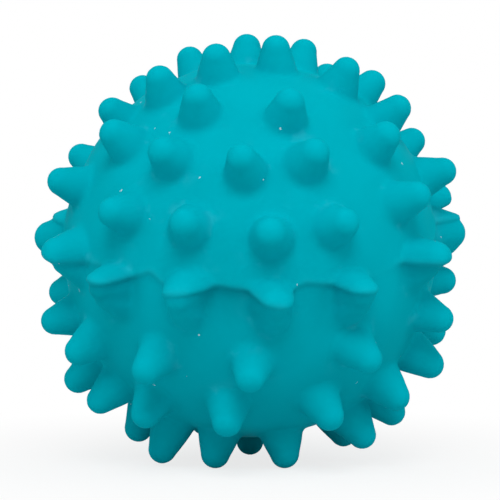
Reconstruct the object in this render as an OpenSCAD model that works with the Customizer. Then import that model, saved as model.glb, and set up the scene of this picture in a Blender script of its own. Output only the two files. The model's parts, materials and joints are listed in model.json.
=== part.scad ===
// Nubbed sensory ball: a hollow natural rubber skin with a push-in reed squeaker.
// The skin is cast in one piece, nubs and all, in a two-part mould.
// The origin is the centre of the ball, +Z is up and -Y is the front, in millimetres.
// The ball stands on three of its nubs, so its moulding axis leans towards the front.

/* [Ball] */
// Diameter of the skin between the nubs
ball_d = 76; // [66:1:90]
// Thickness of the rubber
wall = 2.2; // [1.8:0.1:3]
// Height of the mould's parting line above the centre, along the moulding axis
seam_height = 5.6; // [0:0.2:7]
// How far the parting line stands out of the skin
seam_proud = 0.45; // [0.2:0.05:0.8]
// Radius of the parting line's round crest
seam_crest_r = 0.9; // [0.6:0.1:1.4]

/* [Nubs] */
// Height of a nub above the skin
nub_h = 7.1; // [5:0.1:9]
// Radius of a nub's round tip
nub_tip_r = 2.6; // [2:0.1:2.8]
// Slope of a nub's side, in degrees
nub_taper = 18; // [10:1:20]
// Height of the flared foot of a nub above the skin
nub_foot_h = 0.8; // [0.6:0.1:1.4]
// How far the foot flares out where it meets the skin
nub_foot_flare = 0.7; // [0.6:0.1:1.4]

/* [Squeaker seat in the skin] */
// Radius of the hole that the squeaker is pressed into
seat_bore_r = 7.5; // [7:0.1:8]
// Radius of the flat land round the hole
land_r = 10.5; // [10:0.1:11.5]
// Length of the neck round the squeaker, from the land inwards
neck_len = 5; // [4:0.25:6]
// Thickness of the neck's rubber
neck_wall = 2.5; // [1.8:0.1:2.8]

/* [Squeaker] */
// Radius of the outer flange that lies on the land
flange_r = 9.5; // [8.6:0.1:9.8]
// Thickness of the flange and of the end plate
flange_t = 1.2; // [0.8:0.1:1.4]
// How far the inner lip spreads behind the neck
lip_spread = 1.3; // [0.8:0.1:1.6]
// Thickness of the inner lip
lip_t = 1.4; // [1:0.1:2]
// Wall of the housing's barrel
housing_wall = 1.3; // [1:0.1:1.6]
// Number of sound holes round the end plate
sound_holes = 6; // [4:1:8]
// Radius of a sound hole
sound_hole_r = 0.8; // [0.5:0.1:1]
// Thickness of the inner cap's plate
cap_t = 1; // [0.8:0.1:1.5]
// Depth of the cap's spigot in the housing
cap_spigot = 1.6; // [1:0.1:2.4]

/* [Reed] */
// Outer radius of the reed tube
tube_r = 3.2; // [3:0.1:3.5]
// Wall of the reed tube
tube_wall = 0.7; // [0.5:0.05:0.8]
// Length of the reed tube
tube_len = 8.6; // [8:0.1:10]
// Air gap between the tube and the squeaker's end plate
tube_gap = 0.8; // [0.5:0.1:1.2]
// Thickness of the tube's stop collar
collar_t = 0.8; // [0.6:0.1:1.2]
// How far the stop collar stands out of the tube
collar_spread = 1.2; // [0.8:0.1:1.6]
// Width of the reed
reed_w = 3.6; // [3.2:0.1:3.8]
// Thickness of the reed
reed_t = 0.2; // [0.15:0.01:0.25]
// Length of the reed's free tongue
tongue_len = 5.6; // [4.6:0.1:5.8]
// Lift of the free tongue, in degrees
tongue_lift = 3.5; // [3:0.1:4]
// Length of the reed's clamped tail
tail_len = 1.8; // [1.4:0.1:2]
// Radius of the air channel in the trough
channel_r = 1.3; // [1:0.1:1.4]

/* [Hidden] */
$fn = 64;

rubber = [0.0, 0.62, 0.69];
white = [0.93, 0.93, 0.9];
ivory = [0.86, 0.84, 0.76];
amber = [0.78, 0.6, 0.28];

// Overrun of a cut past the face that it opens, and freedom of the reed's tail
over = 1;
reed_play = 0.07;

ball_r = ball_d / 2;
seam_latitude = asin(seam_height / ball_r);

// The ball stands on three nubs: a front pair, one each side, and one near the pole.
// They are level when the moulding axis leans by this much.
front_pair_latitude = -57;
front_pair_azimuth = 17.5;
pole_nub_latitude = -87;
front_reach = cos(front_pair_latitude) * cos(front_pair_azimuth) - cos(pole_nub_latitude);
front_rise = sin(front_pair_latitude) - sin(pole_nub_latitude);
lean = atan(front_rise / front_reach);

// Nubs in degrees on the moulding axis, about one ring to a line: [latitude, azimuth], and then its
// share of the height where a nub came out longer or shorter. Azimuth 0 is the front.
// They were set out by hand on the first model, so the rings wander.
NUBS = [
  [83, 96], [79, -54.5],
  [63.5, -68], [63, -34], [62.5, 22.5], [63.5, 87], [62.5, 145.5], [63.5, -178], [55, -149],
  [48, -82, 0.81], [44, -59], [45.5, -34.5], [44, -2], [44.5, 24], [43.5, 58], [46.5, 84.5],
  [48.5, 117], [45, 147], [48, 172], [40, -160], [42, -134],
  [25, -75.5], [25.5, -45], [25, -19], [24, 5.5], [24, 27], [25.5, 57], [23, 91.5], [25, 117.5],
  [25, 138], [30, 158], [28, -146], [20, -116.5],
  [10.5, -65.5], [7, -42], [7, -17.5], [6.5, 5.5], [9, 28.5], [10.5, 60.5], [3.5, 96.5],
  [8.5, 111], [8, 128], [8, 149], [-1, -152], [12.5, -144], [8, -127], [1, -98],
  [-14, -71.5], [-18, -56.5], [-13, -28.5], [-11, 1], [-10, 31.5], [-10.5, 64], [-13, 100.5],
  [-12, 118], [-12, 140], [-15, 161], [-20, -178], [-15, -160], [-12, -137], [-15, -118],
  [-17, -101.5],
  [-34.5, -76, 1.25], [-35.5, -58, 1.13], [-34, -35.5], [-32.5, -8], [-33, 25.5],
  [-32.5, 53, 1.08], [-27.5, 71, 1.15], [-26, 92], [-29, 110], [-29, 129], [-29, 149],
  [-35, 168], [-35, -168], [-29, -147], [-29, -125], [-32, -104],
  [-45.5, -91], [-47, 48.5, 1.25], [-45.5, 70, 1.25], [-51, 94], [-44, 121], [-44, 146],
  [-54, 176], [-44, -148], [-44, -118],
  [-60, -97], [-55.5, -69, 1.2], [-54.5, -43.5, 1.28], [front_pair_latitude, -front_pair_azimuth],
  [front_pair_latitude, front_pair_azimuth], [-60.5, 66.5, 1.08], [-64, 124], [-63, -143],
  [-75, -115], [-75, 180], [pole_nub_latitude, 0],
];

// A nub's profile, measured along its axis from the ball's centre
nub_root_share = 0.7;
nub_root = ball_r - wall * nub_root_share;
nub_shoulder_r = nub_tip_r * cos(nub_taper);
nub_waist = ball_r + nub_foot_h;
nub_waist_r = nub_shoulder_r + (nub_shoulder(nub_h) - nub_waist) * tan(nub_taper);
nub_foot_r = nub_waist_r + nub_foot_flare;
nub_foot = nub_waist - nub_foot_h - pow(nub_foot_r, 2) / ball_d - seam_proud;

// The squeaker, along its axis from the ball's centre, outwards
land = sqrt(pow(ball_r, 2) - pow(land_r, 2));
neck_r = seat_bore_r + neck_wall;
neck_end = land - neck_len;
housing_end = neck_end - lip_t;
chamber_r = seat_bore_r - housing_wall;
cap_end = housing_end - cap_t;
cap_r = seat_bore_r;
sound_ring_r = chamber_r / 2 + sound_hole_r;
tube_bore_r = tube_r - tube_wall;
tube_top = land - tube_gap;
tube_end = tube_top - tube_len;

// The reed lies on the tube's axis, between the trough's flat and the wedge's flat
flat_gap = reed_t / 2 + reed_play;
wedge_end = tube_top - tail_len - reed_play;
tongue_end = wedge_end - tongue_len;
trough_end = tongue_end - tube_wall;

function nub_height_share(place) = len(place) > 2 ? place[2] : 1;
function nub_tip_centre(height) = ball_r + height - nub_tip_r;
function nub_shoulder(height) = nub_tip_centre(height) + nub_tip_r * sin(nub_taper);

module toward(azimuth, latitude) {
  rotate([90 - latitude, 0, azimuth]) children();
}

module standing() {
  rotate([lean, 0, 0]) children();
}

module at_squeaker() {
  standing() toward(180, seam_latitude) children();
}

module ring(r_outer, r_inner, low, high) {
  difference() {
    translate([0, 0, low]) cylinder(r = r_outer, h = high - low);
    translate([0, 0, low - over]) cylinder(r = r_inner, h = high - low + 2 * over);
  }
}

// A nub of any height has the same foot and the same round tip
module nub(height) {
  tip_centre = nub_tip_centre(height);
  shoulder = nub_shoulder(height);
  rotate_extrude($fn = 48) {
    polygon([
      [0, nub_root],
      [nub_waist_r, nub_root],
      [nub_foot_r, nub_foot],
      [nub_waist_r, nub_waist],
      [nub_shoulder_r, shoulder],
      [0, shoulder],
    ]);
    intersection() {
      translate([0, tip_centre]) circle(r = nub_tip_r);
      translate([0, tip_centre]) square([nub_tip_r, nub_tip_r]);
    }
  }
}

module seam_ridge() {
  ridge_r = sqrt(pow(ball_r, 2) - pow(seam_height, 2));
  rotate_extrude($fn = 128)
    translate([ridge_r + seam_proud - seam_crest_r, seam_height])
      circle(r = seam_crest_r, $fn = 32);
}

module ball_skin() {
  color(rubber) standing() {
    difference() {
      union() {
        sphere(r = ball_r, $fn = 128);
        seam_ridge();
        for (place = NUBS)
          toward(place[1], place[0]) nub(nub_h * nub_height_share(place));
      }
      difference() {
        sphere(r = ball_r - wall, $fn = 128);
        toward(180, seam_latitude)
          translate([0, 0, neck_end]) cylinder(r = neck_r, h = ball_r - neck_end);
      }
      toward(180, seam_latitude) {
        translate([0, 0, neck_end - over]) cylinder(r = seat_bore_r, h = ball_r);
        translate([0, 0, land]) cylinder(r = land_r + over, h = ball_r - land + nub_h);
      }
    }
  }
}

module squeaker_housing() {
  color(white) at_squeaker() difference() {
    union() {
      translate([0, 0, land]) cylinder(r = flange_r, h = flange_t);
      translate([0, 0, housing_end]) cylinder(r = seat_bore_r, h = land - housing_end);
      translate([0, 0, housing_end])
        cylinder(r1 = seat_bore_r, r2 = seat_bore_r + lip_spread, h = lip_t);
    }
    translate([0, 0, housing_end - over]) cylinder(r = chamber_r, h = land - housing_end + over);
    for (k = [0 : sound_holes - 1])
      rotate([0, 0, 360 * k / sound_holes]) translate([sound_ring_r, 0, land - over])
        cylinder(r = sound_hole_r, h = flange_t + 2 * over, $fn = 32);
  }
}

module squeaker_cap() {
  color(ivory) at_squeaker() {
    difference() {
      union() {
        translate([0, 0, cap_end]) cylinder(r = cap_r, h = cap_t);
        translate([0, 0, cap_end]) cylinder(r = chamber_r, h = cap_t + cap_spigot);
      }
      translate([0, 0, cap_end - over]) cylinder(r = tube_r, h = cap_t + cap_spigot + 2 * over);
    }
  }
}

module reed_tube() {
  color(ivory) at_squeaker() {
    ring(tube_r, tube_bore_r, tube_end, tube_top);
    ring(tube_r + collar_spread, tube_r - tube_wall / 2, cap_end - collar_t, cap_end);
  }
}

// The side of the tube's bore that lies past a plane: side is 1 above the reed, -1 below it
module half_bore(side, low, high) {
  intersection() {
    translate([0, 0, low]) cylinder(r = tube_bore_r, h = high - low);
    translate([-tube_r, side > 0 ? flat_gap : -flat_gap - tube_r, low - over])
      cube([2 * tube_r, tube_r, high - low + 2 * over]);
  }
}

module reed_trough() {
  color(amber) at_squeaker() difference() {
    half_bore(-1, trough_end, tube_top);
    translate([0, -flat_gap, tongue_end + channel_r]) {
      cylinder(r = channel_r, h = tube_len + over, $fn = 32);
      sphere(r = channel_r, $fn = 32);
    }
  }
}

module reed_wedge() {
  color(ivory) at_squeaker() half_bore(1, wedge_end, tube_top);
}

module reed() {
  color(white) at_squeaker() union() {
    translate([-reed_w / 2, -reed_t / 2, wedge_end]) cube([reed_w, reed_t, tail_len]);
    translate([-reed_w / 2, -reed_t / 2, wedge_end]) rotate([tongue_lift, 0, 0])
      translate([0, 0, -tongue_len]) cube([reed_w, reed_t, tongue_len]);
  }
}

ball_skin();
squeaker_housing();
squeaker_cap();
reed_tube();
reed_trough();
reed_wedge();
reed();
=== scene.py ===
"""Sensory ball: the looks of a nubbed ball of natural rubber with a push-in reed squeaker.

The skin is one casting: a hollow ball, its nubs and the mould's parting line. Every length is in
metres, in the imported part's own frame: the origin is the ball's centre, +Z is up and -Y the front.
Latitudes and azimuths are in degrees on the moulding axis, and azimuth 0 is the front.
"""

import json
import logging
import math
import random
from dataclasses import dataclass, field, replace
from enum import Enum

import bmesh
import bpy
import numpy as np
from mathutils import Matrix, Vector


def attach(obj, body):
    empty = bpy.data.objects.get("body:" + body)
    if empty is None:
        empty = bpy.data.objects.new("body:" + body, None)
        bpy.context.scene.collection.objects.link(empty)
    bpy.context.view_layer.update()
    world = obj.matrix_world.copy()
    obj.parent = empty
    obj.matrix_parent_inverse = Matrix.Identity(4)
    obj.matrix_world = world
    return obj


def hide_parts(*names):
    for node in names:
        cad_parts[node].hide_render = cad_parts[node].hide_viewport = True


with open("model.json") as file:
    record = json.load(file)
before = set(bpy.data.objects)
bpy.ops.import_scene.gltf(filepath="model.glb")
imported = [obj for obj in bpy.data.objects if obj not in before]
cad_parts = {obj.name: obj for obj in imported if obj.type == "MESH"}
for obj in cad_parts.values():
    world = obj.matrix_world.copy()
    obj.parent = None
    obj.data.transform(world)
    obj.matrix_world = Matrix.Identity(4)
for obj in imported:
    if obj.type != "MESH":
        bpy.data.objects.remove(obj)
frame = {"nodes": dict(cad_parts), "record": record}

Colour = tuple[float, float, float]
Socket = bpy.types.NodeSocket

LOG = logging.getLogger("sensory_ball")
MM = 0.001
BALL_R = 38 * MM
MERGE_DISTANCE = 0.001 * MM
WHITE = (1.0, 1.0, 1.0, 1.0)


class Body(Enum):
    """The rigid bodies that the pieces ride on."""

    BALL = "ball"
    REED = "reed_tongue"


class Slot(Enum):
    """The record's material slots."""

    RUBBER = "rubber_skin"
    HOUSING = "housing_plastic"
    INNER = "inner_plastic"
    TROUGH = "trough_plastic"
    FILM = "reed_film"


# The nubs, about one ring to a line: (latitude, azimuth), and then its share of the height where a
# nub came out longer or shorter, and its share of the girth where it came out thicker. They were
# set out one by one on the first model, so the rings wander.
NUBS: tuple[tuple[float, ...], ...] = (
    (83, 96), (79, -54.5),
    (63.5, -68), (61, -29), (60, 20.5), (63.5, 87), (62.5, 145.5), (63.5, -178), (55, -149),
    (48, -82, 0.81), (44, -59), (43.2, -31.8), (43.3, -3), (43.8, 23), (43.5, 58), (46.5, 84.5),
    (48.5, 117), (45, 147), (48, 172), (40, -160), (42, -134),
    (25, -75.5), (25, -42.2), (25.7, -18.3), (24, 5.5), (24.8, 27), (26, 56.5), (23, 91.5), (25, 117.5),
    (25, 138), (30, 158), (28, -146), (20, -116.5),
    (8.4, -62.5), (4.6, -41.8), (6.2, -18), (5.5, 6.3), (5.4, 29.5), (8.6, 58.2),
    (2.5, 97.5, 1.02, 1.25),
    (8.5, 111), (8, 128), (8, 149), (-1, -152), (12.5, -144), (8, -127),
    (1, -98, 1.02, 1.25),
    (-14, -71.5), (-18, -56.5), (-15, -28.5), (-14.2, 0), (-12.5, 32.5), (-10.5, 64), (-13, 100.5),
    (-12, 118), (-12, 140), (-15, 161), (-20, -178), (-15, -160), (-12, -137), (-15, -118),
    (-17, -101.5),
    (-34.5, -76, 1.25), (-35.5, -58, 1.13), (-34, -35.5), (-31, -7), (-31.5, 25),
    (-32.5, 53, 1.08), (-27.5, 71, 1.15), (-26, 92), (-29, 110), (-29, 129), (-29, 149),
    (-35, 168), (-35, -168), (-29, -147), (-29, -125), (-32, -104),
    (-45.5, -91), (-47, 48.5, 1.25), (-45.5, 70, 1.25), (-51, 94), (-44, 121), (-44, 146),
    (-54, 176), (-44, -148), (-44, -118),
    (-60, -97), (-55.5, -69, 1.2), (-54.5, -43.5, 1.28), (-57, -17.5), (-57, 17.5),
    (-60.5, 66.5, 1.08), (-64, 124), (-63, -143),
    (-75, -115), (-75, 180), (-87, 0),
)


@dataclass(frozen=True)
class Stance:
    """How far the moulding axis leans to the front, so that three nubs stand level."""

    pair_latitude: float = -57.0
    pair_azimuth: float = 17.5
    pole_latitude: float = -87.0

    def feet(self) -> tuple[tuple[float, float], ...]:
        """Returns the three nubs that the ball stands on, as (latitude, azimuth)."""
        pair = ((self.pair_latitude, side * self.pair_azimuth) for side in (-1, 1))
        return (*pair, (self.pole_latitude, 0))

    def lean(self) -> float:
        """Returns the lean in radians."""
        pair, pole = math.radians(self.pair_latitude), math.radians(self.pole_latitude)
        reach = math.cos(pair) * math.cos(math.radians(self.pair_azimuth)) - math.cos(pole)
        return math.atan2(math.sin(pair) - math.sin(pole), reach)

    def turn(self) -> Matrix:
        """Returns the rotation from the moulding frame to the part's frame."""
        return Matrix.Rotation(self.lean(), 3, "X")

    def direction(self, latitude: float, azimuth: float) -> Vector:
        """Turns a place on the moulding axis into a direction in the part's frame.

        Args:
            latitude: degrees above the mould's equator.
            azimuth: degrees from the front, towards +X.

        Returns:
            A unit vector.
        """
        up, side = math.radians(latitude), math.radians(azimuth)
        mould = Vector((math.cos(up) * math.sin(side), -math.cos(up) * math.cos(side), math.sin(up)))
        return self.turn() @ mould


def smooth_min(a: np.ndarray, b: np.ndarray, reach: float) -> np.ndarray:
    """Joins two distances with a fillet where they meet.

    Args:
        a: distances to the first solid.
        b: distances to the second solid.
        reach: how far from the meeting line the fillet begins.

    Returns:
        Distances to the two solids run into each other.
    """
    share = np.clip(reach - np.abs(a - b), 0.0, None) / reach
    return np.minimum(a, b) - share * share * reach / 4


def soft_step(height: np.ndarray) -> np.ndarray:
    """Falls softly from 1 well below zero to 0 well above it.

    Args:
        height: heights, as multiples of the length of the fall.

    Returns:
        The share at each height.
    """
    return 1 / (1 + np.exp(height))


@dataclass(frozen=True)
class Nub:
    """One nub: a round-tipped cone from a root inside the skin to the centre of its tip."""

    way: np.ndarray
    root: np.ndarray
    tip: np.ndarray
    root_r: float
    tip_r: float
    belly: float

    def distance(self, points: np.ndarray) -> np.ndarray:
        """Measures how far points lie outside the nub.

        Args:
            points: one to a row.

        Returns:
            The distances, negative inside.
        """
        run = self.tip - self.root
        length = float(np.linalg.norm(run))
        along = run / length
        away = points - self.root
        height = away @ along
        side = np.linalg.norm(away - height[:, None] * along, axis=1)
        swell = self.belly * np.sin(math.pi * np.clip(height / length, 0, 1))
        slope = (self.root_r - self.tip_r) / length
        steep = math.sqrt(1 - slope * slope)
        where = side * -slope + height * steep
        flank = side * steep + height * slope - self.root_r
        below = np.hypot(side, height) - self.root_r
        above = np.hypot(side, height - length) - self.tip_r
        return np.where(where < 0, below, np.where(where > steep * length, above, flank)) - swell


@dataclass
class PartingLine:
    """The ridge that the mould's joint leaves, at a height on the moulding axis that wanders."""

    stance: Stance
    height: float = 5.6 * MM
    proud: float = 0.25 * MM
    half_width: float = 0.9 * MM
    step: float = 0.3 * MM
    step_reach: float = 10 * MM
    fall: float = 0.4 * MM
    # The painted shade below the line: how sharply it begins, how far down it fades, and the mark
    # depths over which it grows.
    painted_shade_fall: float = 0.2 * MM
    painted_shade_reach: float = 5.5 * MM
    painted_shade_depths: tuple[float, float] = (0.5, 3.0)
    shelf: float = 0.55 * MM
    shelf_height: float = 2.8 * MM
    shelf_edge: float = 0.8 * MM
    rounding: float = 2.4
    rounding_span: int = 8
    # How the line runs: (azimuth, millimetres up, depth of its mark). It was read at the front, and
    # goes on in the same uneven way round the back.
    course: tuple[tuple[float, float, float], ...] = (
        (-165, 0.6, 1), (-150, -0.7, 1), (-128, 0.4, 1), (-112, -0.9, 1), (-98, 0.5, 1),
        (-82, -0.4, 1), (-68, 1.6, 0.8), (-57, -0.4, 0.5), (-50, 0.3, 1), (-43, 0.1, 2.4),
        (-37, 0.1, 2.6), (-34, 0.6, 1.6), (-30.5, 2.4, 1), (-28, 1.6, 1), (-25, -0.6, 0.7),
        (-20, 1.3, 0.7), (-15, 1.6, 1.4), (-12, 0.3, 3), (-9.5, 1.0, 4), (-5, 0.3, 4),
        (3, 0.2, 2), (6, -0.2, 1), (10.5, -0.8, 1), (15, 1.3, 1.6), (18, 1.0, 1.6),
        (22, 0.2, 2), (28, 0.5, 2), (34, 0.0, 0.8), (39, -0.2, 0.1), (46, 0.4, 0.1),
        (53, 0.8, 1.6), (62, 0.5, 2), (76, -0.8, 1), (90, 0.6, 1), (104, -0.6, 1),
        (120, 0.7, 1), (138, -0.5, 1), (150, 0.5, 1), (166, -0.6, 1),
    )

    def latitude(self, ball_r: float) -> float:
        """Returns the line's usual latitude on a ball of a radius, in degrees."""
        return math.degrees(math.asin(self.height / ball_r))

    def around(self, azimuth: np.ndarray, values: tuple[float, ...]) -> np.ndarray:
        """Reads one column of the course at any azimuth, with its corners rounded.

        Args:
            azimuth: where to read, in degrees.
            values: the column.

        Returns:
            The values there.
        """
        fine = np.arange(-180.0, 180.0, 1.0)
        raw = np.interp(fine, [row[0] for row in self.course], values, period=360)
        span = self.rounding_span
        kernel = np.exp(-(np.arange(-span, span + 1) / self.rounding) ** 2)
        padded = np.concatenate([raw[-span:], raw, raw[:span]])
        smooth = np.convolve(padded, kernel / kernel.sum(), mode="valid")
        return np.interp(azimuth, fine, smooth, period=360)

    def above(self, points: np.ndarray) -> tuple[np.ndarray, np.ndarray]:
        """Measures how far points lie above the line, along the moulding axis.

        Args:
            points: one to a row.

        Returns:
            The heights above the line, and the depth of its mark at each.
        """
        mould = points @ np.array(self.stance.turn())
        azimuth = np.degrees(np.arctan2(mould[:, 0], -mould[:, 1]))
        _, heights, depths = zip(*self.course)
        above = mould[:, 2] - self.height - self.around(azimuth, heights) * MM
        return above, self.around(azimuth, depths)

    def relief(self, above: np.ndarray, depth: np.ndarray) -> np.ndarray:
        """Works out how far the ridge stands out, and how far the lower half steps in.

        Args:
            above: heights above the line.
            depth: the depth of its mark.

        Returns:
            How far to move the surface out.
        """
        ridge = self.proud * np.minimum(depth, 1) * np.exp(-((above / self.half_width) ** 2))
        lower = soft_step(above / self.fall)
        return ridge - self.step * depth * lower * np.exp(-((above / self.step_reach) ** 2))

    def shade(self, above: np.ndarray, depth: np.ndarray) -> np.ndarray:
        """Works out where the rubber below the line is painted darker: painted shade under its ledge,
        stronger where its mark is deeper.

        Args:
            above: heights above the line.
            depth: the depth of its mark.

        Returns:
            The strength of the painted shade, from 0 to 1.
        """
        least, most = self.painted_shade_depths
        strength = np.clip((depth - least) / (most - least), 0, 1)
        fading = np.exp(-((above / self.painted_shade_reach) ** 2))
        return strength * soft_step(above / self.painted_shade_fall) * fading

    def shelf_on(self, above: np.ndarray) -> np.ndarray:
        """Works out how much wider the upper mould left a nub, down to the sharp edge at the line.

        Args:
            above: heights above the line.

        Returns:
            How far the nub's side moves out.
        """
        upper = np.exp(-((above / self.shelf_height) ** 4))
        lower = np.exp(-((above / self.shelf_edge) ** 2))
        return self.shelf * np.where(above > 0, upper, lower)


@dataclass
class SqueakerSeat:
    """The land, bore and neck in the skin that hold the squeaker, on the parting line at the back."""

    axis: Vector
    bore_r: float = 7.5 * MM
    land_r: float = 10.5 * MM
    neck_length: float = 5 * MM
    neck_wall: float = 2.5 * MM
    edge: float = 0.5 * MM

    def land(self, ball_r: float) -> float:
        """Returns how far the land lies from the ball's centre, along the axis."""
        return math.sqrt(ball_r**2 - self.land_r**2)

    def turn(self) -> Matrix:
        """Returns the rotation that lays +Z on the squeaker's axis."""
        return self.axis.to_track_quat("Z", "Y").to_matrix().to_4x4()

    def cut(self, points: np.ndarray, ball_r: float) -> np.ndarray:
        """Measures how deep points lie in the cut above the land.

        Args:
            points: one to a row.
            ball_r: the skin's outer radius.

        Returns:
            The depths, negative outside the cut.
        """
        axis = np.array(self.axis)
        along = points @ axis
        side = np.linalg.norm(points - along[:, None] * axis, axis=1)
        return np.minimum(along - self.land(ball_r), self.land_r + self.edge - side)


class Mesh:
    """Short calls between Blender's objects, bmesh and arrays."""

    @staticmethod
    def piece(name: str, bm: bmesh.types.BMesh) -> bpy.types.Object:
        """Makes an object at the origin from a bmesh, which it frees.

        Args:
            name: the piece's name.
            bm: the finished shape.

        Returns:
            The new object, in the scene.
        """
        mesh = bpy.data.meshes.new(name)
        bm.to_mesh(mesh)
        bm.free()
        made = bpy.data.objects.new(name, mesh)
        bpy.context.scene.collection.objects.link(made)
        return made

    @staticmethod
    def apply(made: bpy.types.Object) -> None:
        """Puts the result of an object's modifiers into its mesh.

        Args:
            made: the object.
        """
        graph = bpy.context.evaluated_depsgraph_get()
        final = bpy.data.meshes.new_from_object(made.evaluated_get(graph))
        old = made.data
        made.modifiers.clear()
        made.data = final
        final.name = made.name
        bpy.data.meshes.remove(old)

    @staticmethod
    def subtract(made: bpy.types.Object, tool: bpy.types.Object) -> None:
        """Cuts one closed piece out of another and removes the tool.

        Args:
            made: the piece that stays.
            tool: the piece that is cut out.
        """
        cut = made.modifiers.new("cut", "BOOLEAN")
        cut.operation = "DIFFERENCE"
        cut.solver = "MANIFOLD"
        cut.object = tool
        Mesh.apply(made)
        bpy.data.objects.remove(tool)

    @staticmethod
    def shade(mesh: bpy.types.Mesh, crease: float) -> None:
        """Shades a mesh smoothly, with sharp edges past an angle.

        Args:
            mesh: the mesh.
            crease: the angle in degrees.
        """
        mesh.polygons.foreach_set("use_smooth", [True] * len(mesh.polygons))
        mesh.set_sharp_from_angle(angle=math.radians(crease))

    @staticmethod
    def turned(profile: list[tuple[float, float]], steps: int) -> bmesh.types.BMesh:
        """Spins a profile into a closed shape round +Z.

        Args:
            profile: (radius, height) points that start and end on the axis.
            steps: how many faces go round.

        Returns:
            A new bmesh whose faces point outwards.
        """
        bm = bmesh.new()
        verts = [bm.verts.new((radius, 0, height)) for radius, height in profile]
        edges = [bm.edges.new(pair) for pair in zip(verts, verts[1:])]
        bmesh.ops.spin(
            bm, geom=verts + edges, axis=(0, 0, 1), cent=(0, 0, 0), angle=math.tau, steps=steps,
            use_merge=True,
        )
        bmesh.ops.remove_doubles(bm, verts=bm.verts, dist=MERGE_DISTANCE)
        bmesh.ops.recalc_face_normals(bm, faces=bm.faces)
        return bm


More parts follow.
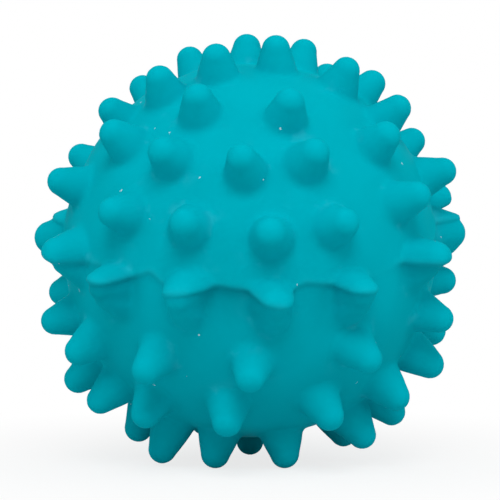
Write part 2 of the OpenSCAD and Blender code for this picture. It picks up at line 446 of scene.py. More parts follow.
@dataclass
class Skin:
    """The cast rubber skin with its nubs, parting line and squeaker seat."""

    stance: Stance
    line: PartingLine
    seat: SqueakerSeat
    radius: float = BALL_R
    wall: float = 2.2 * MM
    nub_height: float = 7.1 * MM
    tip_r: float = 2.85 * MM
    taper: float = 15.5
    root_depth: float = 3 * MM
    belly: float = 0.18 * MM
    height_stray: float = 0.015
    girth_stray: float = 0.03
    foot_stray: float = 1.5
    least_ring: float = 0.2
    fillet: float = 1.05 * MM
    web: float = 0.6 * MM
    skirt_drop: float = 1.7 * MM
    skirt_tilt: float = 6.0
    skirt_share: float = 0.9
    skirt_reach: float = 0.9**0.25
    skirt_band: float = 9.0
    hood_rise: float = 0.4 * MM
    hood_band: float = 5.0
    lump: float = 0.05 * MM
    lump_waves: int = 14
    lump_pitch_mm: tuple[float, float] = (9, 24)
    foot_reach: float = 1.6 * MM
    line_reach: float = 0.7 * MM
    arc_steps: int = 40
    voxel: float = 0.7 * MM
    fine_band: float = 1.6 * MM
    evening: float = 0.5
    first_rounds: int = 2
    last_rounds: int = 3
    drops: int = 2
    probe: float = 0.02 * MM
    least_slope: float = 0.25
    largest_move: float = 0.5 * MM
    near_angle: float = 24.0
    crease: float = 50.0
    seed: int = 7
    nubs: list[Nub] = field(default_factory=list)
    waves: list[tuple[np.ndarray, float]] = field(default_factory=list)

    def __post_init__(self) -> None:
        """Sets out the nubs with the small strays of a model made by hand, and the skin's lumps."""
        draw = random.Random(self.seed)
        feet = self.stance.feet()
        seam = self.line.latitude(self.radius)
        for latitude, azimuth, *shares in NUBS:
            foot = (latitude, azimuth) in feet
            length, girth = (*shares, 1.0, 1.0)[:2]
            nub = self.place(latitude, azimuth, length, girth, foot, draw)
            made = [nub]
            if abs(latitude - seam) < self.skirt_band:
                made.append(self.skirt(nub, latitude, azimuth))
            if abs(latitude - seam) < self.hood_band:
                made[0] = replace(nub, tip=nub.tip + self.mould_up() * self.hood_rise)
            self.nubs.extend(made)
        for _ in range(self.lump_waves):
            way = Vector((draw.gauss(0, 1), draw.gauss(0, 1), draw.gauss(0, 1))).normalized()
            pitch = draw.uniform(*self.lump_pitch_mm) * MM
            self.waves.append((np.array(way) * math.tau / pitch, draw.uniform(0, math.tau)))

    def mould_up(self) -> np.ndarray:
        """Returns the way along which the upper half of the mould was lifted off."""
        return np.array(self.stance.turn().col[2])

    def skirt(self, nub: Nub, latitude: float, azimuth: float) -> Nub:
        """Makes the skirt that the lower half of the mould left under a nub on the parting line.

        Args:
            nub: the nub.
            latitude: of the nub's tip.
            azimuth: of the nub's tip.

        Returns:
            A thinner cone below the nub, from a lower tip to a lower root.
        """
        low = np.array(self.stance.direction(latitude - self.skirt_tilt, azimuth))
        return replace(
            nub,
            root=low * (self.radius - self.root_depth),
            tip=(nub.tip - self.mould_up() * self.skirt_drop) * self.skirt_reach,
            root_r=nub.root_r * self.skirt_share,
            tip_r=nub.tip_r * self.skirt_share,
        )

    def place(
        self, latitude: float, azimuth: float, share: float, thick: float, foot: bool,
        draw: random.Random,
    ) -> Nub:
        """Makes one nub from its place.

        Args:
            latitude: of its tip.
            azimuth: of its tip.
            share: its height as a share of the usual one.
            thick: its girth as a share of the usual one.
            foot: whether the ball stands on it, so that its length is kept.
            draw: the source of its strays.

        Returns:
            The nub.
        """
        stray = draw.uniform(-self.height_stray, self.height_stray)
        girth = draw.uniform(1 - self.girth_stray, 1 + self.girth_stray)
        shift = [draw.uniform(-self.foot_stray, self.foot_stray) for _ in range(2)]
        height = self.nub_height * (share if foot else share + stray)
        tip_r = self.tip_r * (1.0 if foot else girth * thick)
        way = np.array(self.stance.direction(latitude, azimuth))
        tilt = 0.0 if foot else 1.0
        spread = max(math.cos(math.radians(latitude)), self.least_ring)
        footway = np.array(self.stance.direction(
            latitude + tilt * shift[1], azimuth + tilt * shift[0] / spread))
        tip = way * (self.radius + height - tip_r)
        root = footway * (self.radius - self.root_depth)
        run = float(np.linalg.norm(tip - root))
        root_r = tip_r + run * math.sin(math.radians(self.taper))
        return Nub(way, root, tip, root_r, tip_r, self.belly)

    def near(self, points: np.ndarray) -> list[np.ndarray]:
        """Finds which points each nub can reach.

        Args:
            points: one to a row.

        Returns:
            One array of row numbers for each nub.
        """
        unit = points / np.linalg.norm(points, axis=1)[:, None]
        limit = math.cos(math.radians(self.near_angle))
        return [np.flatnonzero(unit @ nub.way > limit) for nub in self.nubs]

    def distance(self, points: np.ndarray, near: list[np.ndarray]) -> np.ndarray:
        """Measures how far points lie outside the rubber, as if the ball were solid.

        Args:
            points: one to a row.
            near: the rows that each nub can reach.

        Returns:
            The distances, negative inside.
        """
        ball, nubs, above, depth = self.parts(points, near)
        whole = smooth_min(ball, nubs, self.fillet) - self.line.relief(above, depth)
        low = self.lump * np.clip(1 - ball / self.nub_height, 0, 1)
        for wave, phase in self.waves:
            whole += low * np.sin(points @ wave + phase)
        return -smooth_min(-whole, -self.seat.cut(points, self.radius), self.seat.edge)

    def parts(self, points: np.ndarray, near: list[np.ndarray]) -> tuple[np.ndarray, ...]:
        """Measures points against the bare ball, the nubs and the parting line.

        Args:
            points: one to a row.
            near: the rows that each nub can reach.

        Returns:
            Distances to the ball and to the nubs, heights above the parting line, and its depth.
        """
        ball = np.linalg.norm(points, axis=1) - self.radius
        above, depth = self.line.above(points)
        shelf = self.line.shelf_on(above)
        nubs = np.full(len(points), self.radius)
        for nub, rows in zip(self.nubs, near):
            own = nub.distance(points[rows]) - shelf[rows]
            nubs[rows] = smooth_min(nubs[rows], own, self.web)
        return ball, nubs, above, depth

    def rough(self) -> bpy.types.Object:
        """Returns a ball with plain cones and tips, melted into one closed mesh."""
        bm = bmesh.new()
        bmesh.ops.create_icosphere(bm, subdivisions=5, radius=self.radius)
        for nub in self.nubs:
            root, tip = Vector(nub.root), Vector(nub.tip)
            turn = (tip - root).to_track_quat("Z", "Y").to_matrix().to_4x4()
            middle = Matrix.Translation((root + tip) / 2) @ turn
            bmesh.ops.create_cone(
                bm, cap_ends=True, segments=20, radius1=nub.root_r, radius2=nub.tip_r,
                depth=(tip - root).length, matrix=middle,
            )
            bmesh.ops.create_icosphere(
                bm, subdivisions=2, radius=nub.tip_r, matrix=Matrix.Translation(tip))
        made = Mesh.piece("nubbed_skin", bm)
        melt = made.modifiers.new("melt", "REMESH")
        melt.mode = "VOXEL"
        melt.voxel_size = self.voxel
        Mesh.apply(made)
        return made

    def settle(self, bm: bmesh.types.BMesh, rounds: int) -> None:
        """Evens out the vertices and lays them on the true surface.

        Args:
            bm: the mesh, near the surface.
            rounds: how often it is evened out and laid back.
        """
        for _ in range(rounds):
            bmesh.ops.smooth_vert(
                bm, verts=bm.verts, factor=self.evening, use_axis_x=True, use_axis_y=True,
                use_axis_z=True,
            )
            points = np.array([v.co for v in bm.verts])
            near = self.near(points)
            for _ in range(self.drops):
                points = self.drop(points, near)
            for vert, place in zip(bm.verts, points):
                vert.co = place

    def drop(self, points: np.ndarray, near: list[np.ndarray]) -> np.ndarray:
        """Moves points towards the surface along its slope.

        Args:
            points: one to a row.
            near: the rows that each nub can reach.

        Returns:
            The moved points.
        """
        here = self.distance(points, near)
        slope = np.empty_like(points)
        for axis in range(3):
            step = np.zeros(3)
            step[axis] = self.probe
            slope[:, axis] = (self.distance(points + step, near) - here) / self.probe
        size = np.clip((slope * slope).sum(axis=1), self.least_slope, None)
        move = np.clip(here / size, -self.largest_move, self.largest_move)
        return points - slope * move[:, None]

    def cavity(self) -> bpy.types.Object:
        """Returns the hollow inside the skin, with the squeaker's bore, as a solid to cut out."""
        inner = self.radius - self.wall
        seat = self.seat
        neck_r = seat.bore_r + seat.neck_wall
        land = seat.land(self.radius)
        start = math.asin(neck_r / inner)
        steps = self.arc_steps
        turns = [math.pi - (math.pi - start) * k / steps for k in range(steps + 1)]
        arc = [(inner * math.sin(turn), inner * math.cos(turn)) for turn in turns]
        arc[0] = (0.0, -inner)
        neck = [(neck_r, land - seat.neck_length), (seat.bore_r, land - seat.neck_length)]
        top = self.radius + self.nub_height
        bm = Mesh.turned([*arc, *neck, (seat.bore_r, top), (0.0, top)], steps=72)
        bmesh.ops.transform(bm, matrix=seat.turn(), verts=bm.verts)
        return Mesh.piece("cavity", bm)

    def mark(self, mesh: bpy.types.Mesh) -> None:
        """Stores the nubs' rise, their feet, the line and the painted shade below it, for the finish to
        read.

        Args:
            mesh: the finished mesh.
        """
        points = np.empty(len(mesh.vertices) * 3)
        mesh.vertices.foreach_get("co", points)
        points = points.reshape(-1, 3)
        ball, nubs, above, depth = self.parts(points, self.near(points))
        rise = np.clip(ball / self.nub_height, 0, 1)
        # Where the nubs' feet meet the skin, for the painted highlights in these creases.
        foot = np.exp(-(((ball - nubs) / self.foot_reach) ** 2)) * (ball > -self.wall / 2)
        # The band along the line, for its paler flash, which is partly a painted highlight on the
        # crest.
        line = np.minimum(depth, 1) * np.exp(-((above / self.line_reach) ** 2))
        # Painted shade: the rubber below the line is darkened where its ledge leaves it in shade.
        shade = self.line.shade(above, depth)
        for name, values in (("rise", rise), ("foot", foot), ("line", line), ("shade", shade)):
            layer = mesh.attributes.new(name, "FLOAT", "POINT")
            layer.data.foreach_set("value", values.astype(np.float32))

    def build(self) -> bpy.types.Object:
        """Returns the finished skin, closed, with its wall and its bore."""
        made = self.rough()
        bm = bmesh.new()
        bm.from_mesh(made.data)
        self.settle(bm, self.first_rounds)
        points = np.array([v.co for v in bm.verts])
        band = np.abs(self.line.above(points)[0]) < self.fine_band
        edges = [e for e in bm.edges if all(band[v.index] for v in e.verts)]
        bmesh.ops.subdivide_edges(bm, edges=edges, cuts=1, use_grid_fill=True)
        bm.verts.index_update()
        self.settle(bm, self.last_rounds)
        bm.to_mesh(made.data)
        bm.free()
        Mesh.subtract(made, self.cavity())
        Mesh.shade(made.data, self.crease)
        self.mark(made.data)
        return made

    def dress(self, made: bpy.types.Object, finish: "RubberFinish") -> None:
        """Gives the skin its rubber and its place in the part.

        Args:
            made: the skin.
            finish: the rubber.
        """
        made.data.materials.clear()
        made.data.materials.append(finish.material())
        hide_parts("ball_skin")
        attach(made, Body.BALL.value)


@dataclass
class SqueakerHousing:
    """The plastic cup of the squeaker: flange, barrel, inner lip and sound holes."""

    seat: SqueakerSeat
    ball_r: float
    flange_r: float = 9.5 * MM
    flange_t: float = 1.2 * MM
    dish_r: float = 6.6 * MM
    dish_depth: float = 0.35 * MM
    lip_spread: float = 1.3 * MM
    lip_t: float = 1.4 * MM
    wall: float = 1.3 * MM
    play: float = 0.02 * MM
    hole_r: float = 0.8 * MM
    holes: int = 6
    chamfer: float = 0.3 * MM
    rim_round: float = 0.22 * MM
    rim_angle: float = 0.6
    crease: float = 35.0

    def turned(self) -> bmesh.types.BMesh:
        """Returns the cup without its holes, with its rims rounded."""
        land = self.seat.land(self.ball_r)
        outer = self.seat.bore_r - self.play
        chamber = self.seat.bore_r - self.wall
        top = land + self.flange_t
        neck_end = land - self.seat.neck_length
        end = neck_end - self.lip_t
        bm = Mesh.turned([
            (0.0, top - self.dish_depth), (self.dish_r, top - self.dish_depth),
            (self.dish_r + self.dish_depth, top), (self.flange_r, top),
            (self.flange_r, land + self.play), (outer, land + self.play), (outer, neck_end),
            (self.seat.bore_r + self.lip_spread, neck_end - self.play),
            (self.seat.bore_r, end), (chamber, end), (chamber, land), (0.0, land),
        ], steps=96)
        shared = [e for e in bm.edges if len(e.link_faces) == 2]
        sharp = [e for e in shared if e.calc_face_angle() > self.rim_angle]
        bmesh.ops.bevel(
            bm, geom=sharp, offset=self.rim_round, offset_type="OFFSET", segments=3, profile=0.5,
            affect="EDGES", material=-1, clamp_overlap=True,
        )
        return bm

    def drill(self) -> bpy.types.Object:
        """Returns the sound holes, with their countersinks, as solids to cut out."""
        land = self.seat.land(self.ball_r)
        top = land + self.flange_t
        ring = (self.seat.bore_r - self.wall) / 2 + self.hole_r
        floor = top - self.dish_depth
        sink = self.hole_r + self.chamfer
        bm = Mesh.turned([
            (0.0, land - MM), (self.hole_r, land - MM), (self.hole_r, floor - self.chamfer),
            (sink, floor), (sink, top + MM), (0.0, top + MM),
        ], steps=24)
        first = bm.verts[:] + bm.edges[:] + bm.faces[:]
        bmesh.ops.translate(bm, verts=bm.verts, vec=(ring, 0, 0))
        for k in range(1, self.holes):
            turn = Matrix.Rotation(math.tau * k / self.holes, 4, "Z")
            copy = bmesh.ops.duplicate(bm, geom=first)
            verts = [g for g in copy["geom"] if isinstance(g, bmesh.types.BMVert)]
            bmesh.ops.transform(bm, matrix=turn, verts=verts)
        bmesh.ops.transform(bm, matrix=self.seat.turn(), verts=bm.verts)
        return Mesh.piece("sound_holes", bm)

    def build(self) -> bpy.types.Object:
        """Returns the finished cup."""
        bm = self.turned()
        bmesh.ops.transform(bm, matrix=self.seat.turn(), verts=bm.verts)
        made = Mesh.piece("squeaker_cup", bm)
        Mesh.subtract(made, self.drill())
        Mesh.shade(made.data, self.crease)
        return made

    def dress(self, made: bpy.types.Object, finish: "PlasticFinish") -> None:
        """Gives the cup its plastic and its place in the part.

        Args:
            made: the cup.
            finish: the plastic.
        """
        made.data.materials.clear()
        made.data.materials.append(finish.material())
        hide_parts("squeaker_housing")
        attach(made, Body.BALL.value)


@dataclass
class Graph:
    """Short calls to add, set and join the nodes of a material or a node group."""

    tree: bpy.types.NodeTree

    def add(self, kind: str, settings: dict | None = None, **inputs: object) -> bpy.types.Node:
        """Adds a node.

        Args:
            kind: the node's type.
            settings: the node's own properties.
            inputs: socket values or sockets, with _ for a space in the socket's name.

        Returns:
            The node.
        """
        node = self.tree.nodes.new(kind)
        for name, value in (settings or {}).items():
            setattr(node, name, value)
        for name, value in inputs.items():
            self.feed(node.inputs[name.replace("_", " ")], value)
        return node

    def effect(self, tree: bpy.types.NodeTree, **inputs: float) -> Socket:
        """Places a node group.

        Args:
            tree: the group.
            inputs: the values of its inputs.

        Returns:
            The group's output socket.
        """
        return self.add("ShaderNodeGroup", {"node_tree": tree}, **inputs).outputs[0]

    def feed(self, socket: Socket, value: object) -> None:
        """Joins a socket to another, or sets its value.

        Args:
            socket: the input.
            value: an output socket or a plain value.
        """
        if isinstance(value, Socket):
            self.tree.links.new(value, socket)
        else:
            socket.default_value = value

    def math(self, operation: str, first: object, second: object = 0.0) -> Socket:
        """Adds a sum of one or two values.

        Args:
            operation: Blender's name for it.
            first: a socket or a number.
            second: a socket or a number.

        Returns:
            The result's socket.
        """
        node = self.tree.nodes.new("ShaderNodeMath")
        node.operation = operation
        self.feed(node.inputs[0], first)
        self.feed(node.inputs[1], second)
        return node.outputs[0]

    def blend(self, share: object, first: object, second: object) -> Socket:
        """Adds a mix of two colours.

        Args:
            share: how much of the second shows.
            first: a socket or a colour.
            second: a socket or a colour.

        Returns:
            The mixed colour's socket.
        """
        node = self.tree.nodes.new("ShaderNodeMix")
        node.data_type = "RGBA"
        colour_in = [s for s in node.inputs if s.type == "RGBA"]
        self.feed(node.inputs[0], share)
        self.feed(colour_in[0], first)
        self.feed(colour_in[1], second)
        return next(s for s in node.outputs if s.type == "RGBA")

    def span(self, value: object, low: float, high: float, to: tuple[float, float]) -> Socket:
        """Adds a map from one range to another.

        Args:
            value: a socket or a number.
            low: where the first range begins.
            high: where the first range ends.
            to: the second range.

        Returns:
            The mapped value's socket.
        """
        node = self.add("ShaderNodeMapRange", {"clamp": True})
        for socket, given in zip(node.inputs, (value, low, high, *to)):
            self.feed(socket, given)
        return node.outputs[0]


class Effects:
    """Node groups that several finishes share, each built once."""

    PATCH_SPAN = (0.3, 0.7)
    SWELL_SCALE = 0.18
    SWELL_HEIGHT = 1.6
    PORE_SCALE = 0.5
    PORE_SIZE = 0.22
    SPECK_BEND_SCALE = 1900.0
    SPECK_BEND = (0.0011, 0.0011, 0.0011)
    SPECK_EDGE = (0.04, 0.085)

    @staticmethod
    def group(name: str, inputs: dict[str, float], output: str) -> tuple[Graph, bool]:
        """Finds or starts a node group.

        Args:
            name: the group's name.
            inputs: its inputs, with their usual values.
            output: the name of its output.

        Returns:
            The group's graph, and whether it is new and still empty.
        """
        found = bpy.data.node_groups.get(name)
        if found:
            return Graph(found), False
        tree = bpy.data.node_groups.new(name, "ShaderNodeTree")
        for label, usual in inputs.items():
            socket = tree.interface.new_socket(label, in_out="INPUT", socket_type="NodeSocketFloat")
            socket.default_value = usual
        tree.interface.new_socket(output, in_out="OUTPUT", socket_type="NodeSocketFloat")
        return Graph(tree), True

    @staticmethod
    def blotches() -> bpy.types.NodeTree:
        """Returns a group that puts out soft uneven patches, from 0 to 1."""
        graph, new = Effects.group("blotches", {"Scale": 90.0}, "Patch")
        if new:
            given = graph.add("NodeGroupInput")
            place = graph.add("ShaderNodeTexCoord").outputs["Object"]
            wide = graph.add("ShaderNodeTexNoise", Vector=place, Scale=given.outputs["Scale"],
                             Detail=3.0, Roughness=0.55)
            value = graph.span(wide.outputs[0], *Effects.PATCH_SPAN, (0.0, 1.0))
            graph.add("NodeGroupOutput", Patch=value)
        return graph.tree

    @staticmethod
    def grain() -> bpy.types.NodeTree:
        """Returns a group that puts out the fine height of a moulded surface."""
        graph, new = Effects.group("moulded_grain", {"Scale": 1500.0, "Pores": 0.4}, "Height")
        if new:
            given = graph.add("NodeGroupInput")
            scale = given.outputs["Scale"]
            place = graph.add("ShaderNodeTexCoord").outputs["Object"]
            fine = graph.add(
                "ShaderNodeTexNoise", Vector=place, Scale=scale, Detail=4.0, Roughness=0.6)
            wide = graph.add("ShaderNodeTexNoise", Vector=place, Detail=2.0,
                             Scale=graph.math("MULTIPLY", scale, Effects.SWELL_SCALE))
            swell = graph.math("MULTIPLY", wide.outputs[0], Effects.SWELL_HEIGHT)
            both = graph.math("ADD", fine.outputs[0], swell)
            cells = graph.add("ShaderNodeTexVoronoi", Vector=place,
                              Scale=graph.math("MULTIPLY", scale, Effects.PORE_SCALE))
            pits = graph.span(cells.outputs["Distance"], 0.0, Effects.PORE_SIZE, (-1.0, 0.0))
            pores = graph.math("MULTIPLY", pits, given.outputs["Pores"])
            graph.add("NodeGroupOutput", Height=graph.math("ADD", both, pores))
        return graph.tree

    @staticmethod
    def specks() -> bpy.types.NodeTree:
        """Returns a group that puts out sparse specks of dust, each in its own cell."""
        graph, new = Effects.group("dust_specks", {"Scale": 330.0, "Share": 0.1}, "Speck")
        if new:
            given = graph.add("NodeGroupInput")
            place = graph.add("ShaderNodeTexCoord").outputs["Object"]
            shift = graph.add(
                "ShaderNodeTexNoise", Vector=place, Scale=Effects.SPECK_BEND_SCALE, Detail=1.0)
            bent = graph.add("ShaderNodeVectorMath", {"operation": "MULTIPLY_ADD"})
            terms = (shift.outputs["Color"], Effects.SPECK_BEND, place)
            for socket, value in zip(bent.inputs, terms):
                graph.feed(socket, value)
            cells = graph.add("ShaderNodeTexVoronoi", Vector=bent.outputs[0],
                              Scale=given.outputs["Scale"])
            dots = graph.span(cells.outputs["Distance"], *Effects.SPECK_EDGE, (1.0, 0.0))
            pick = graph.add("ShaderNodeSeparateColor", Color=cells.outputs["Color"])
            chosen = graph.math("LESS_THAN", pick.outputs[0], given.outputs["Share"])
            graph.add("NodeGroupOutput", Speck=graph.math("MULTIPLY", dots, chosen))
        return graph.tree


@dataclass(frozen=True)
class Finish:
    """What every finish of this ball has: a colour, its patches, a gloss and a fine grain."""

    name: str
    colour: Colour
    patch_colour: Colour
    roughness: tuple[float, float]
    grain_scale: float = 1500.0
    grain_depth: float = 0.02 * MM
    patch_scale: float = 90.0
    dust: float = 0.08
    dust_colour: Colour = (0.62, 0.85, 0.9)
    light_bending: float = 1.49

    def start(self) -> tuple[bpy.types.Material, Graph, bpy.types.Node]:
        """Returns a new material, its graph and its shader."""
        made = bpy.data.materials.new(self.name)
        made.use_nodes = True
        graph = Graph(made.node_tree)
        shader = next(n for n in made.node_tree.nodes if n.type == "BSDF_PRINCIPLED")
        shader.inputs["IOR"].default_value = self.light_bending
        return made, graph, shader

    def surface(self, graph: Graph, shader: bpy.types.Node) -> Socket:
        """Sets the gloss and the grain, and mixes the colour with its patches and dust.

        Args:
            graph: the material's graph.
            shader: the material's shader.

        Returns:
            The mixed colour, which is already fed to the shader.
        """
        patch = graph.effect(Effects.blotches(), Scale=self.patch_scale)
        speck = graph.effect(Effects.specks(), Share=self.dust)
        height = graph.effect(Effects.grain(), Scale=self.grain_scale)
        plain = graph.blend(patch, (*self.colour, 1), (*self.patch_colour, 1))
        dusty = graph.blend(speck, plain, (*self.dust_colour, 1))
        bump = graph.add("ShaderNodeBump", Strength=1.0, Distance=self.grain_depth, Height=height)
        graph.feed(shader.inputs["Base Color"], dusty)
        graph.feed(shader.inputs["Roughness"], graph.span(patch, 0.0, 1.0, self.roughness))
        graph.feed(shader.inputs["Normal"], bump.outputs[0])
        return dusty


@dataclass(frozen=True)
class RubberFinish(Finish):
    """Satin natural rubber, a little translucent: pale where worn, painted highlights, painted shade
    under the line.
    """

    # Painted highlights: pale patches in the creases at the nubs' feet, and how strongly they show.
    painted_highlight_colour: Colour = (0.03, 0.5, 0.62)
    painted_highlight: float = 0.35
    worn_colour: Colour = (0.0, 0.47, 0.58)
    worn: float = 0.4
    # The line's paler flash, partly a painted highlight on its crest, and how much of it shows.
    flash_and_highlight_colour: Colour = (0.02, 0.5, 0.6)
    line: float = 0.3
    # Painted shade: the darker colour under the parting line, and how much of it shows.
    painted_shade_colour: Colour = (0.0, 0.27, 0.34)
    shade: float = 0.7
    sparse_scale: float = 3.1
    sparse_from: float = 0.72
    worn_from: float = 0.55
    light_bending: float = 1.5
    glow: float = 0.15
    glow_depth: float = 1.6 * MM
    glow_tint: Colour = (0.15, 0.9, 1.0)
    gloss: float = 0.001
    gloss_colour: Colour = (0.05, 0.85, 1.0)

    def material(self) -> bpy.types.Material:
        """Returns the rubber."""
        made, graph, shader = self.start()
        colour = self.surface(graph, shader)
        patch = graph.effect(Effects.blotches(), Scale=self.patch_scale * self.sparse_scale)
        marks = {name: graph.add("ShaderNodeAttribute", {"attribute_name": name}).outputs["Fac"]
                 for name in ("rise", "foot", "line", "shade")}
        sparse = graph.span(patch, self.sparse_from, 1.0, (0.0, 1.0))
        # Painted highlights in sparse patches in the creases at the nubs' feet.
        painted_highlight = graph.math("MULTIPLY", graph.math("MULTIPLY", marks["foot"], sparse), self.painted_highlight)
        high = graph.span(marks["rise"], self.worn_from, 1.0, (0.0, 1.0))
        worn = graph.math("MULTIPLY", high, self.worn)
        # The line's paler flash, partly a painted highlight on its crest.
        line = graph.math("MULTIPLY", graph.math("MULTIPLY", marks["line"], patch), self.line)
        # Painted shade below the parting line.
        shade = graph.math("MULTIPLY", marks["shade"], self.shade)
        tints = (self.painted_highlight_colour, self.worn_colour, self.flash_and_highlight_colour, self.painted_shade_colour)
        for share, tint in zip((painted_highlight, worn, line, shade), tints):
            colour = graph.blend(share, colour, (*tint, 1))
        graph.feed(shader.inputs["Base Color"], colour)
        shader.inputs["Specular IOR Level"].default_value = self.gloss
        shader.inputs["Specular Tint"].default_value = (*self.gloss_colour, 1)
        shader.inputs["Subsurface Weight"].default_value = self.glow
        shader.inputs["Subsurface Radius"].default_value = self.glow_tint
        shader.inputs["Subsurface Scale"].default_value = self.glow_depth
        return made


@dataclass(frozen=True)
class PlasticFinish(Finish):
    """Moulded plastic."""

    clear: float = 0.0

    def material(self) -> bpy.types.Material:
        """Returns the plastic."""
        made, graph, shader = self.start()
        self.surface(graph, shader)
        shader.inputs["Transmission Weight"].default_value = self.clear
        return made


FINISHES: dict[Slot, RubberFinish | PlasticFinish] = {
    Slot.RUBBER: RubberFinish(
        name="teal_rubber", colour=(0.0, 0.43, 0.52), patch_colour=(0.0, 0.45, 0.545),
        roughness=(0.42, 0.52), grain_scale=1300.0, grain_depth=0.012 * MM, patch_scale=70.0,
        dust=0.15),
    Slot.HOUSING: PlasticFinish(
        name="white_plastic", colour=(0.72, 0.73, 0.71), patch_colour=(0.66, 0.67, 0.65),
        roughness=(0.3, 0.42), grain_depth=0.008 * MM, dust=0.12, dust_colour=(0.4, 0.4, 0.38)),
    Slot.INNER: PlasticFinish(
        name="ivory_plastic", colour=(0.62, 0.58, 0.46), patch_colour=(0.56, 0.52, 0.41),
        roughness=(0.34, 0.46), grain_depth=0.01 * MM),
    Slot.TROUGH: PlasticFinish(
        name="amber_plastic", colour=(0.5, 0.24, 0.05), patch_colour=(0.44, 0.2, 0.04),
        roughness=(0.2, 0.32), grain_depth=0.006 * MM, clear=0.25),
    Slot.FILM: PlasticFinish(
        name="reed_film", colour=(0.8, 0.8, 0.76), patch_colour=(0.72, 0.72, 0.68),
        roughness=(0.18, 0.26), grain_depth=0.003 * MM, clear=0.35),
}


@dataclass
class ReedParts:
    """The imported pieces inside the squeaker, which keep their shapes and get their finishes."""

    nodes: dict[str, bpy.types.Object]

    def dress(self) -> None:
        """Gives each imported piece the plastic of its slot."""
        pieces = (
            ("squeaker_cap", Body.BALL, Slot.INNER),
            ("reed_tube", Body.BALL, Slot.INNER),
            ("reed_wedge", Body.BALL, Slot.INNER),
            ("reed_trough", Body.BALL, Slot.TROUGH),
            ("reed", Body.REED, Slot.FILM),
        )
        made = {slot: FINISHES[slot].material() for slot in (Slot.INNER, Slot.TROUGH, Slot.FILM)}
        for node, body, slot in pieces:
            for place in self.nodes[node].material_slots:
                place.material = made[slot]
            LOG.info("%s on %s: %s", node, body.value, made[slot].name)


@dataclass(frozen=True)
class Lamp:
    """A soft square lamp that points at the ball: its side in metres and its power in watts."""

    name: str
    place: tuple[float, float, float]
    size: float
    power: float

    def hang(self) -> None:
        """Hangs the lamp."""
        data = bpy.data.lights.new(self.name, "AREA")
        data.shape = "SQUARE"
        data.size = self.size
        data.energy = self.power
        lamp = bpy.data.objects.new(self.name, data)
        lamp.location = self.place
        lamp.rotation_euler = Vector(self.place).to_track_quat("Z", "Y").to_euler()
        bpy.context.scene.collection.objects.link(lamp)


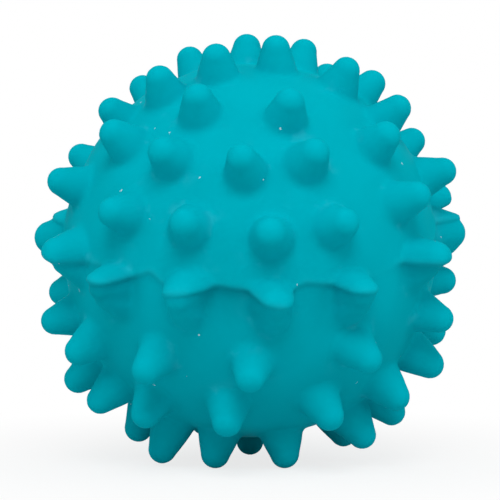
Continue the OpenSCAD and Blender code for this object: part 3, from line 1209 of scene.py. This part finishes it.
@dataclass
class Studio:
    """A white floor, soft lamps and the camera at the photograph's angle."""

    floor_height: float
    camera_distance: float = 383 * MM
    camera_elevation: float = 1.1
    frame_width: float = 102.3 * MM
    sensor: float = 36.0
    near_clip: float = 10 * MM
    floor_half: float = 1.5
    lamp_share: float = 0.22
    shadow_reach: tuple[float, float] = (45 * MM, 115 * MM)
    bounce: float = 0.72
    room: float = 0.305
    lamps: tuple[Lamp, ...] = (
        Lamp("front_softbox", (0, -1.0, 1.03), 0.8, 10.2),
        Lamp("top_softbox", (0, 0, 1.4), 0.9, 0.6),
        Lamp("low_softbox", (0, -1.4, 0.1), 0.9, 1.2),
        Lamp("left_softbox", (-1.1, -0.4, 0.75), 0.9, 2.9),
        Lamp("right_softbox", (1.1, -0.4, 0.75), 0.9, 3.6),
    )

    def camera(self) -> None:
        """Stands the camera where the photograph was taken from."""
        data = bpy.data.cameras.new("camera")
        data.sensor_width = self.sensor
        data.lens = self.sensor * self.camera_distance / self.frame_width
        data.clip_start = self.near_clip
        camera = bpy.data.objects.new("camera", data)
        up = math.radians(self.camera_elevation)
        back = Vector((0, -math.cos(up), math.sin(up)))
        camera.location = back * self.camera_distance
        camera.rotation_euler = back.to_track_quat("Z", "Y").to_euler()
        bpy.context.scene.collection.objects.link(camera)
        bpy.context.scene.camera = camera

    def seen(self, graph: Graph) -> Socket:
        """Returns a socket that is 1 for what the camera, gloss and glass see."""
        path = graph.add("ShaderNodeLightPath")
        either = graph.math("MAXIMUM", path.outputs["Is Camera Ray"], path.outputs["Is Glossy Ray"])
        return graph.math("MAXIMUM", either, path.outputs["Is Transmission Ray"])

    def world(self, level: float) -> None:
        """Fills the room with plain light, which looks white.

        Args:
            level: the strength of the light on the ball.
        """
        world = bpy.data.worlds.new("room")
        bpy.context.scene.world = world
        world.use_nodes = True
        graph = Graph(world.node_tree)
        back = next(n for n in world.node_tree.nodes if n.type == "BACKGROUND")
        back.inputs["Color"].default_value = WHITE
        graph.feed(back.inputs["Strength"], graph.span(self.seen(graph), 0.0, 1.0, (level, 1.0)))

    def floor(self) -> None:
        """Lays the white floor, which the lamps light in part, so that a soft shadow shows."""
        bm = bmesh.new()
        bmesh.ops.create_grid(
            bm, x_segments=8, y_segments=8, size=self.floor_half,
            matrix=Matrix.Translation((0, 0, self.floor_height)),
        )
        made = Mesh.piece("floor", bm)
        paint = bpy.data.materials.new("floor_paper")
        paint.use_nodes = True
        graph = Graph(paint.node_tree)
        paint.node_tree.nodes.clear()
        seen = self.seen(graph)
        place = graph.add("ShaderNodeTexCoord").outputs["Object"]
        away = graph.add("ShaderNodeVectorMath", {"operation": "LENGTH"})
        graph.feed(away.inputs[0], place)
        lit = graph.span(away.outputs["Value"], *self.shadow_reach, (1 - self.lamp_share, 1.0))
        paper = graph.blend(seen, (self.bounce, self.bounce, self.bounce, 1), WHITE)
        matte = graph.add("ShaderNodeBsdfDiffuse", Color=paper)
        glow = graph.add("ShaderNodeEmission", Color=WHITE, Strength=1.0)
        mix = graph.add("ShaderNodeMixShader")
        share = graph.math("MULTIPLY", seen, lit)
        for socket, value in zip(mix.inputs, (share, matte.outputs[0], glow.outputs[0])):
            graph.feed(socket, value)
        graph.add("ShaderNodeOutputMaterial", Surface=mix.outputs[0])
        made.data.materials.append(paint)

    def build(self) -> None:
        """Sets up the whole studio."""
        self.camera()
        self.world(self.room)
        self.floor()
        for lamp in self.lamps:
            lamp.hang()
        bpy.context.scene.view_settings.view_transform = "Standard"


def main() -> None:
    """Builds the pieces in order, dresses them and reports each."""
    logging.basicConfig(level=logging.INFO, format="%(name)s: %(message)s")
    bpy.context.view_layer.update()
    stance = Stance()
    line = PartingLine(stance)
    seat = SqueakerSeat(stance.direction(line.latitude(BALL_R), 180))
    skin = Skin(stance, line, seat)
    rubber = skin.build()
    skin.dress(rubber, FINISHES[Slot.RUBBER])
    LOG.info("%s: %d faces, %d nubs", rubber.name, len(rubber.data.polygons), len(NUBS))
    housing = SqueakerHousing(seat, skin.radius)
    cup = housing.build()
    housing.dress(cup, FINISHES[Slot.HOUSING])
    LOG.info("%s: %d faces", cup.name, len(cup.data.polygons))
    ReedParts(frame["nodes"]).dress()
    rest = next(m for m in frame["record"]["mounts"] if m["name"] == "nub_rest")
    Studio(floor_height=rest["pos_m"][2]).build()


if __name__ == "__main__":
    main()
